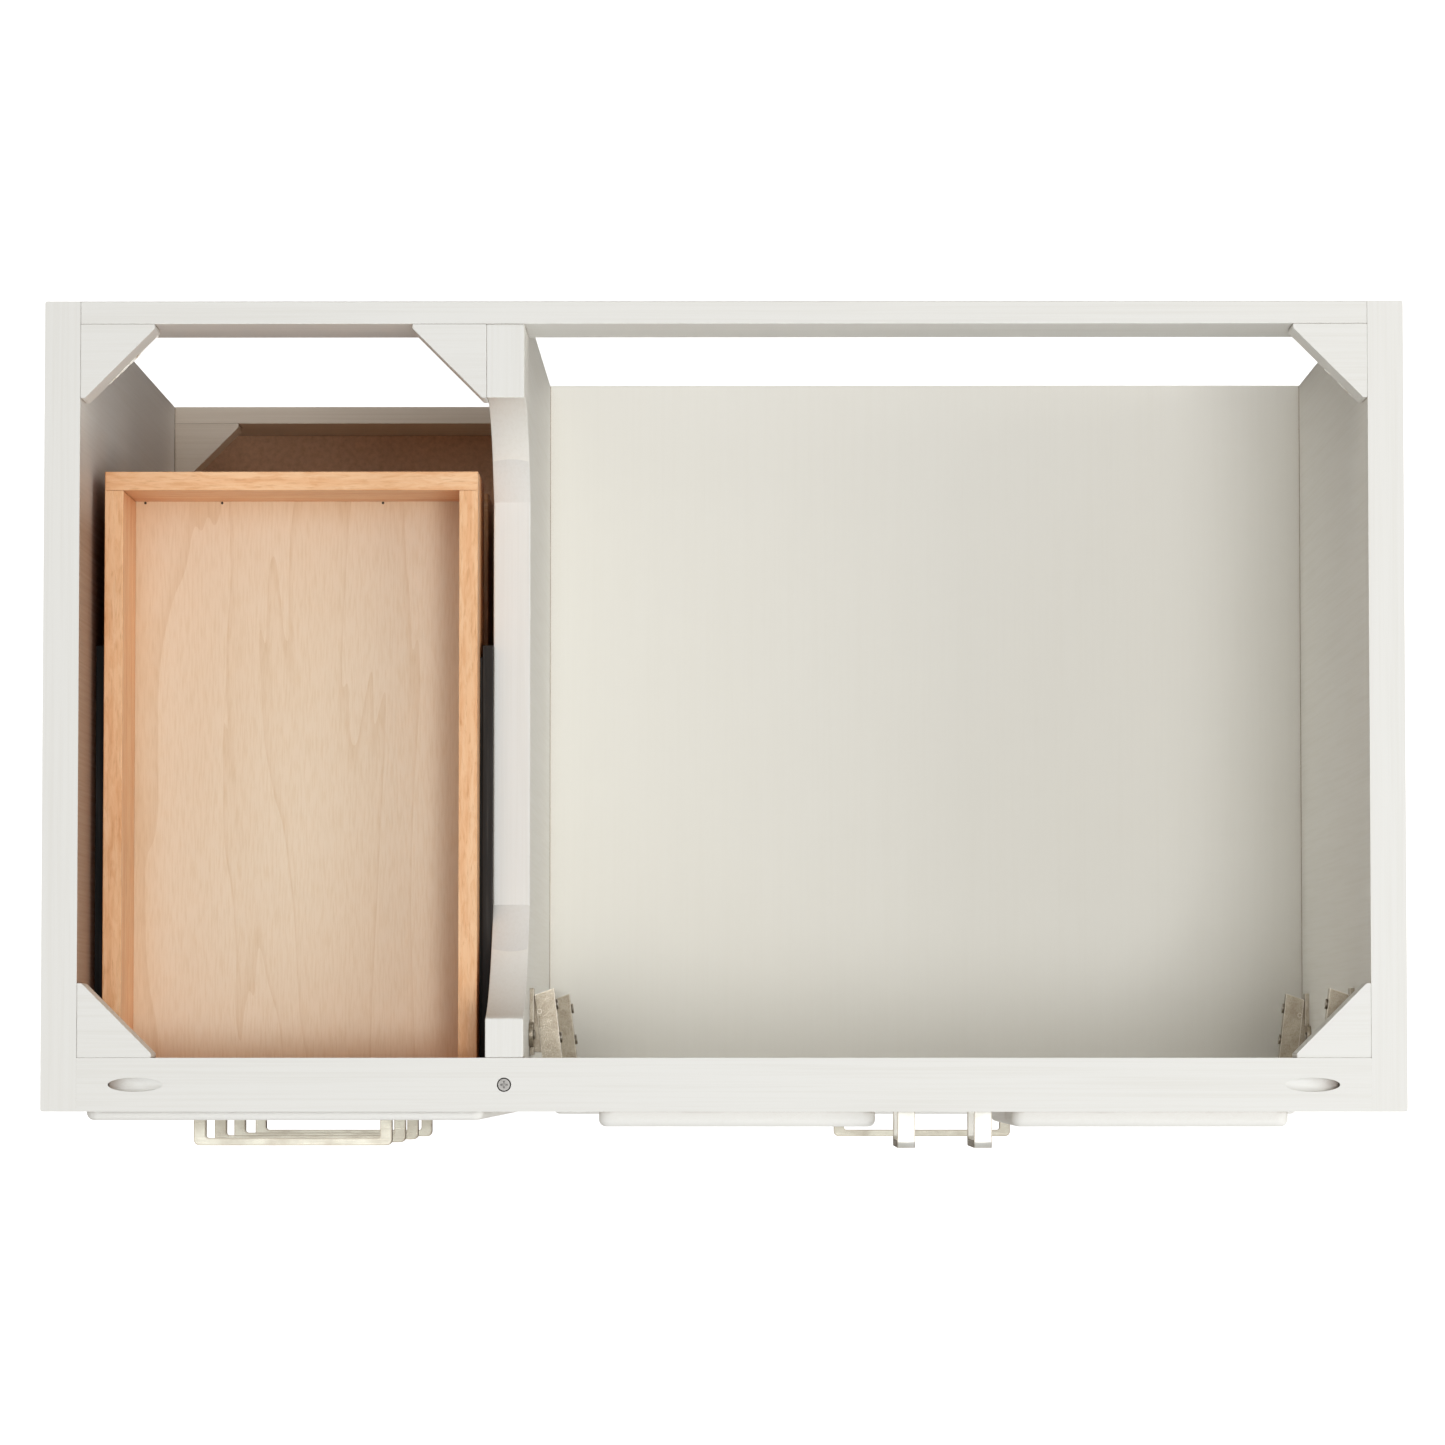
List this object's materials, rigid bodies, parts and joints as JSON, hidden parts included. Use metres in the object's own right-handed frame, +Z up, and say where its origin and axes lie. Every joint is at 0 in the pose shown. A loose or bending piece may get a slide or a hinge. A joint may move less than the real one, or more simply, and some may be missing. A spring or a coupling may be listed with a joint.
{
  "type": "vanity base cabinet with drawer slides",
  "caption": "Painted vanity base with inset drawers on ball-bearing side slides, a pair of inset doors on concealed hinges, an open top and an open back.",
  "frame": {"origin": "centre of the bounding box, on the floor under the glides", "axes": "+X to the right as the fronts are faced, +Y to the wall, +Z up"},
  "size_m": [0.9144, 0.57, 0.851],
  "materials": {
    "white_paint": "satin white paint on solid wood and board, a faint brushed grain showing",
    "solid_wood": "clear-finished light hardwood",
    "birch_ply": "pale birch-faced plywood, clear-finished",
    "black_steel": "black-coated rolled sheet steel",
    "ball_steel": "bright steel",
    "screw_steel": "zinc-plated steel",
    "nickel": "satin nickel plating",
    "black_plastic": "moulded black plastic"
  },
  "bodies": {
    "cabinet": {"left_side_panel": "white_paint", "right_side_panel": "white_paint", "divider_panel": "white_paint", "front_top_rail": "white_paint", "back_top_rail": "white_paint", "front_bottom_rail": "white_paint", "back_bottom_rail": "white_paint", "bottom_panel": "white_paint", "compartment_floor": "white_paint", "top_corner_blocks": "white_paint", "bottom_corner_blocks": "white_paint", "frame_screws": "screw_steel", "floor_glides": "black_plastic", "slide_cabinet_members": "black_steel", "slide_cabinet_screws": "screw_steel", "slide_bumpers": "black_plastic", "hinge_plates": "nickel", "hinge_arms": "nickel", "hinge_screws": "screw_steel"},
    "drawer_1": {"drawer_1_box": "solid_wood", "drawer_1_bottom": "birch_ply", "drawer_1_front": "white_paint", "drawer_1_pull": "nickel", "drawer_1_slide_members": "black_steel", "drawer_1_release_levers": "black_plastic"},
    "drawer_1_cages": {"drawer_1_ball_cages": "ball_steel"},
    "drawer_2": {"drawer_2_box": "solid_wood", "drawer_2_bottom": "birch_ply", "drawer_2_front": "white_paint", "drawer_2_pull": "nickel", "drawer_2_slide_members": "black_steel", "drawer_2_release_levers": "black_plastic"},
    "drawer_2_cages": {"drawer_2_ball_cages": "ball_steel"},
    "drawer_3": {"drawer_3_box": "solid_wood", "drawer_3_bottom": "birch_ply", "drawer_3_front": "white_paint", "drawer_3_pull": "nickel", "drawer_3_slide_members": "black_steel", "drawer_3_release_levers": "black_plastic"},
    "drawer_3_cages": {"drawer_3_ball_cages": "ball_steel"},
    "drawer_4": {"drawer_4_box": "solid_wood", "drawer_4_bottom": "birch_ply", "drawer_4_front": "white_paint", "drawer_4_pull": "nickel", "drawer_4_slide_members": "black_steel", "drawer_4_release_levers": "black_plastic"},
    "drawer_4_cages": {"drawer_4_ball_cages": "ball_steel"},
    "drawer_5": {"drawer_5_box": "solid_wood", "drawer_5_bottom": "birch_ply", "drawer_5_front": "white_paint", "drawer_5_pull": "nickel", "drawer_5_slide_members": "black_steel", "drawer_5_release_levers": "black_plastic"},
    "drawer_5_cages": {"drawer_5_ball_cages": "ball_steel"},
    "left_door": {"left_door": "white_paint", "left_door_pull": "nickel", "left_hinge_cups": "nickel"},
    "right_door": {"right_door": "white_paint", "right_door_pull": "nickel", "right_hinge_cups": "nickel"}
  },
  "joints": [
    {"name": "drawer_1_slide", "type": "slide", "parent": "cabinet", "child": "drawer_1", "axis": [0, -1, 0], "range_m": [0, 0.2]},
    {"name": "drawer_1_cage_slide", "type": "slide", "parent": "cabinet", "child": "drawer_1_cages", "axis": [0, -1, 0], "range_m": [0, 0.1]},
    {"name": "drawer_2_slide", "type": "slide", "parent": "cabinet", "child": "drawer_2", "axis": [0, -1, 0], "range_m": [0, 0.2]},
    {"name": "drawer_2_cage_slide", "type": "slide", "parent": "cabinet", "child": "drawer_2_cages", "axis": [0, -1, 0], "range_m": [0, 0.1]},
    {"name": "drawer_3_slide", "type": "slide", "parent": "cabinet", "child": "drawer_3", "axis": [0, -1, 0], "range_m": [0, 0.2]},
    {"name": "drawer_3_cage_slide", "type": "slide", "parent": "cabinet", "child": "drawer_3_cages", "axis": [0, -1, 0], "range_m": [0, 0.1]},
    {"name": "drawer_4_slide", "type": "slide", "parent": "cabinet", "child": "drawer_4", "axis": [0, -1, 0], "range_m": [0, 0.2]},
    {"name": "drawer_4_cage_slide", "type": "slide", "parent": "cabinet", "child": "drawer_4_cages", "axis": [0, -1, 0], "range_m": [0, 0.1]},
    {"name": "drawer_5_slide", "type": "slide", "parent": "cabinet", "child": "drawer_5", "axis": [0, -1, 0], "range_m": [0, 0.2]},
    {"name": "drawer_5_cage_slide", "type": "slide", "parent": "cabinet", "child": "drawer_5_cages", "axis": [0, -1, 0], "range_m": [0, 0.1]},
    {"name": "left_door_hinge", "type": "hinge", "parent": "cabinet", "child": "left_door", "pos_m": [-0.1141, -0.2485, 0.387], "axis": [0, 0, -1], "range_deg": [0, 90]},
    {"name": "right_door_hinge", "type": "hinge", "parent": "cabinet", "child": "right_door", "pos_m": [0.4132, -0.2485, 0.387], "axis": [0, 0, 1], "range_deg": [0, 90]}
  ],
  "couplings": [
    {"joint": "drawer_1_cage_slide", "follows": "drawer_1_slide", "ratio": 0.5},
    {"joint": "drawer_2_cage_slide", "follows": "drawer_2_slide", "ratio": 0.5},
    {"joint": "drawer_3_cage_slide", "follows": "drawer_3_slide", "ratio": 0.5},
    {"joint": "drawer_4_cage_slide", "follows": "drawer_4_slide", "ratio": 0.5},
    {"joint": "drawer_5_cage_slide", "follows": "drawer_5_slide", "ratio": 0.5}
  ]
}
